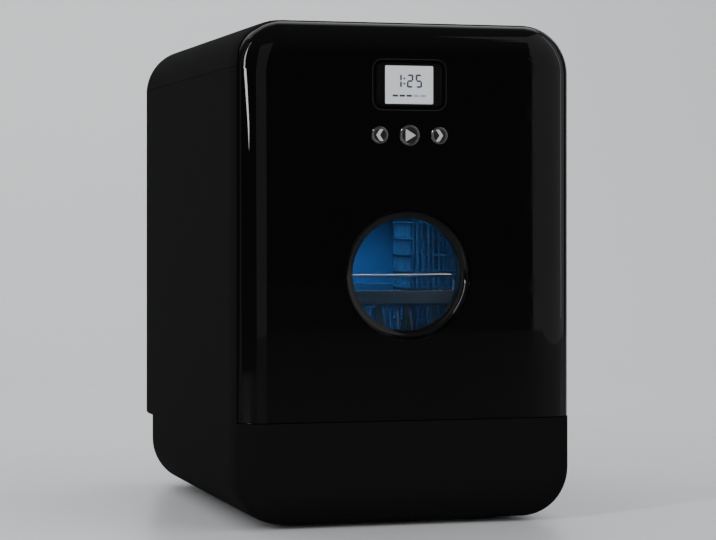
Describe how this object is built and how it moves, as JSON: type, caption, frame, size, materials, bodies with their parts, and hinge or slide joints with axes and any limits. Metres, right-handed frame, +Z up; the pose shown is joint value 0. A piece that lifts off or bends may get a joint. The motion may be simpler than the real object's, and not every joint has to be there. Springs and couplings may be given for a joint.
{
  "type": "countertop dishwasher",
  "caption": "Slim countertop dishwasher with a side-hinged glossy front door, round window, small display and push buttons, wire basket, spray arm and built-in water tank.",
  "frame": {"origin": "middle of the object's footprint, at the level the feet stand on", "axes": "+X to the right seen from the front, +Y from the door to the back, +Z up"},
  "size_m": [0.34, 0.48, 0.488],
  "materials": {
    "casing_black": "fine satin texture",
    "steel_zinc": "zinc plated",
    "frame_plastic": "matte",
    "rubber_black": "matte",
    "inner_plastic": "moulded",
    "gasket_grey": "matte",
    "steel_bright": "brushed",
    "tub_plastic": "satin, moulded",
    "liner_plastic": "satin, moulded",
    "lamp_clear": "frosted",
    "pump_plastic": "moulded",
    "heater_metal": "drawn",
    "pipe_plastic": "moulded",
    "tank_plastic": "milky, moulded",
    "valve_plastic": "moulded",
    "board_green": "lacquered",
    "door_gloss": "high gloss",
    "window_glass": "clear, lightly tinted",
    "bush_plastic": "moulded",
    "magnet": "nickel plated",
    "display_lens": "smoked, polished",
    "display_lit": "lit from behind",
    "button_plastic": "satin",
    "basket_coat": "coated, satin",
    "chrome_wire": "polished",
    "cutlery_plastic": "satin, moulded"
  },
  "bodies": {
    "casing": {"housing": "casing_black", "top_cover": "casing_black", "rear_cover": "casing_black", "rear_cover_screws": "steel_zinc", "base_plate": "frame_plastic", "base_screws": "steel_zinc", "feet": "rubber_black", "chassis_deck": "inner_plastic", "front_frame": "frame_plastic", "door_gasket": "gasket_grey", "upper_hinge_bracket": "steel_zinc", "hinge_screws": "steel_zinc", "lower_hinge_pin": "steel_zinc", "strike_plates": "steel_bright", "tub": "tub_plastic", "runners": "liner_plastic", "lamp_housing": "inner_plastic", "lamp_lens": "lamp_clear", "sump": "inner_plastic", "filter_plate": "steel_bright", "spray_hub": "inner_plastic", "wash_pump": "pump_plastic", "drain_pump": "pump_plastic", "heater": "heater_metal", "suction_hose": "rubber_black", "wash_pipe": "pipe_plastic", "drain_hose": "rubber_black", "water_tank": "tank_plastic", "tank_hose": "rubber_black", "fill_funnel": "inner_plastic", "inlet_valve": "valve_plastic", "water_inlet": "valve_plastic", "drain_spigot": "inner_plastic", "power_inlet": "frame_plastic", "power_board": "board_green"},
    "door": {"door_skin": "door_gloss", "window_bezel": "door_gloss", "outer_glass": "window_glass", "window_seal": "gasket_grey", "inner_glass": "window_glass", "door_liner": "liner_plastic", "hinge_bushes": "bush_plastic", "door_magnets": "magnet", "display_lens": "display_lens", "display_panel": "display_lit", "control_board": "board_green", "detergent_cup": "liner_plastic"},
    "back_button": {"button_back": "button_plastic"},
    "play_button": {"button_play": "button_plastic"},
    "next_button": {"button_next": "button_plastic"},
    "detergent_flap": {"detergent_lid": "inner_plastic"},
    "basket": {"basket": "basket_coat", "basket_slats": "basket_coat", "basket_grid": "basket_coat", "plate_tines": "basket_coat", "basket_handle": "chrome_wire"},
    "cutlery": {"cutlery_basket": "cutlery_plastic"},
    "arm": {"spray_arm": "inner_plastic"},
    "filter": {"filter_cup": "inner_plastic"},
    "tank_lid": {"fill_lid": "casing_black"}
  },
  "joints": [
    {"name": "door_swing", "type": "hinge", "parent": "casing", "child": "door", "pos_m": [-0.156, -0.226, 0.27], "axis": [0, 0, -1], "range_deg": [0, 105]},
    {"name": "basket_slide", "type": "slide", "parent": "casing", "child": "basket", "axis": [0, -1, 0], "range_m": [0, 0.095]},
    {"name": "cutlery_lift", "type": "slide", "parent": "basket", "child": "cutlery", "axis": [0, 0, 1], "range_m": [0, 0.1]},
    {"name": "detergent_slide", "type": "slide", "parent": "door", "child": "detergent_flap", "axis": [-1, 0, 0], "range_m": [0, 0.046]},
    {"name": "back_press", "type": "slide", "parent": "door", "child": "back_button", "axis": [0, 1, 0], "range_m": [0, 0.0012], "stiffness_N_per_m": 500},
    {"name": "play_press", "type": "slide", "parent": "door", "child": "play_button", "axis": [0, 1, 0], "range_m": [0, 0.0012], "stiffness_N_per_m": 500},
    {"name": "next_press", "type": "slide", "parent": "door", "child": "next_button", "axis": [0, 1, 0], "range_m": [0, 0.0012], "stiffness_N_per_m": 500},
    {"name": "arm_spin", "type": "hinge", "parent": "casing", "child": "arm", "pos_m": [0, -0.045, 0.1255], "axis": [0, 0, 1], "continuous": true},
    {"name": "filter_twist", "type": "hinge", "parent": "casing", "child": "filter", "pos_m": [0.057, -0.109, 0.107], "axis": [0, 0, 1], "range_deg": [0, 90]},
    {"name": "tank_lid_hinge", "type": "hinge", "parent": "casing", "child": "tank_lid", "pos_m": [-0.064, 0.198, 0.484], "axis": [-1, 0, 0], "range_deg": [0, 90]}
  ],
  "couplings": [
    {"joint": "basket_slide", "follows": "door_swing", "m_per_rad": 0.0518}
  ]
}
